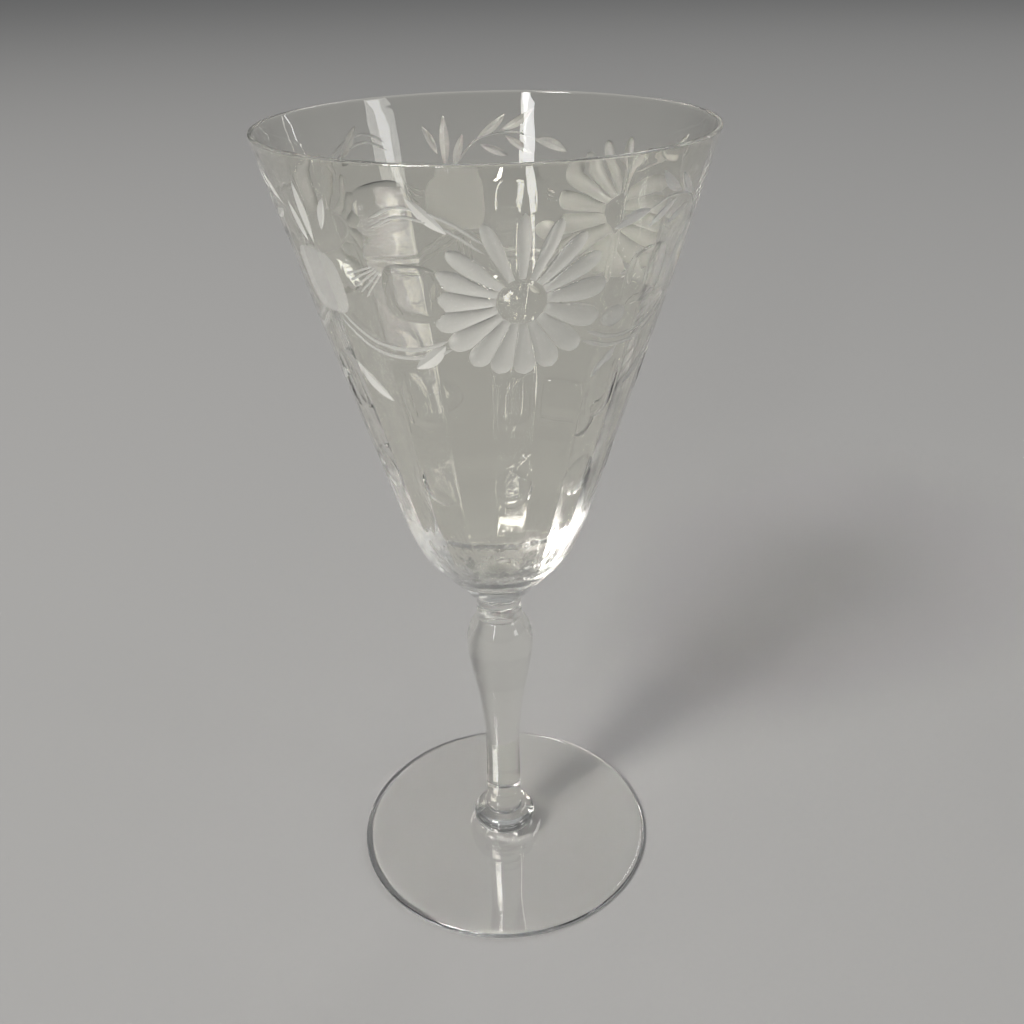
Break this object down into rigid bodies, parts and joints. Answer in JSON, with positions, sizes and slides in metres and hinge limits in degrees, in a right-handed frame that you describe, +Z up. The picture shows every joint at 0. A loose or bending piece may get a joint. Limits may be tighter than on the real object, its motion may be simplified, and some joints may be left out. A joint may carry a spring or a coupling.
{
  "type": "wine glass",
  "caption": "Stemmed goblet of clear glass: tall conical bowl with cut and engraved decoration, short collar, baluster stem, button knop and round flat foot.",
  "frame": {"origin": "centre of the foot's underside, on the surface the glass stands on", "axes": "+Z up along the stem's axis, which is the axis of the whole glass; -Y is the side shown to the front, +X to its right"},
  "size_m": [0.0932, 0.0932, 0.19],
  "materials": {
    "bowl_glass": "fire-polished clear glass with fine-ground matt engraving and polished cuts",
    "stem_glass": "solid clear glass, polished, faintly warm where it is thick",
    "foot_glass": "clear glass disc with a rounded polished edge"
  },
  "bodies": {
    "root": {"bowl": "bowl_glass", "collar": "stem_glass", "stem": "stem_glass", "foot_knop": "stem_glass", "foot": "foot_glass"}
  },
  "joints": []
}
